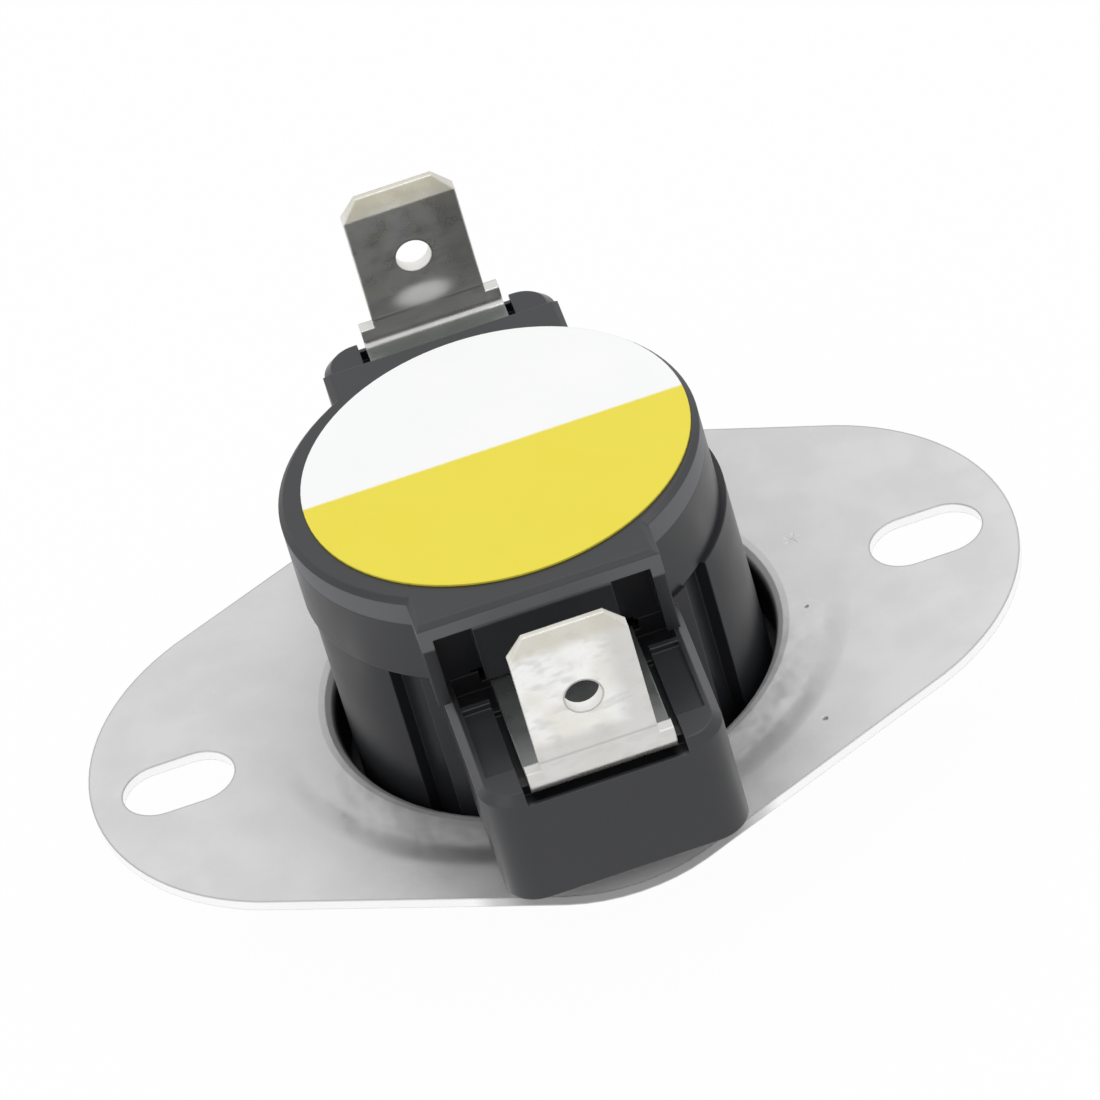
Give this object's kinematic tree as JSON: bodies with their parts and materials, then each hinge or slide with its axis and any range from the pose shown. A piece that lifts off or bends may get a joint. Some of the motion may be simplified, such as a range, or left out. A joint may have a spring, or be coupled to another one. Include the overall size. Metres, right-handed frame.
{
  "type": "bimetal thermostat",
  "caption": "Flange-mounted bimetal disc thermostat with two upright push-on terminals and a round two-colour label on a black switch case.",
  "frame": {"origin": "midway between the two mounting slots, on the flange's underside, which is the face that lies on the wall", "axes": "+Z out of the wall towards the label; +X through the two slots; the terminals stand on the -Y side (front) and the +Y side (rear)"},
  "size_m": [0.0516, 0.042, 0.026],
  "materials": {
    "flange_metal": "matte",
    "black_moulding": "satin",
    "label_film": "satin",
    "terminal_metal": "satin",
    "rivet_metal": "satin",
    "contact_silver": "satin",
    "spring_copper": "satin",
    "pin_ceramic": "matte",
    "guide_moulding": "matte",
    "bimetal": "satin",
    "cup_metal": "satin"
  },
  "bodies": {
    "housing": {"mounting_flange": "flange_metal", "switch_base": "black_moulding", "switch_cover": "black_moulding", "colour_label": "label_film", "front_terminal": "terminal_metal", "rear_terminal": "terminal_metal", "front_rivet": "rivet_metal", "rear_rivet": "rivet_metal", "fixed_contact": "contact_silver", "pin_guide": "guide_moulding", "bimetal_disc": "bimetal", "disc_cup": "cup_metal"},
    "pin": {"transfer_pin": "pin_ceramic"},
    "arm": {"contact_arm": "spring_copper", "moving_contact": "contact_silver"}
  },
  "joints": [
    {"name": "pin_slide", "type": "slide", "parent": "housing", "child": "pin", "axis": [0, 0, 1], "range_m": [0, 0.0003], "stiffness_N_per_m": 60, "deforming": ["bimetal_disc"]},
    {"name": "arm_hinge", "type": "hinge", "parent": "housing", "child": "arm", "pos_m": [0, 0.0073, 0.0097], "axis": [-1, 0, 0], "range_deg": [0, 2.4]}
  ],
  "couplings": [
    {"joint": "arm_hinge", "follows": "pin_slide", "rad_per_m": 136.99}
  ]
}
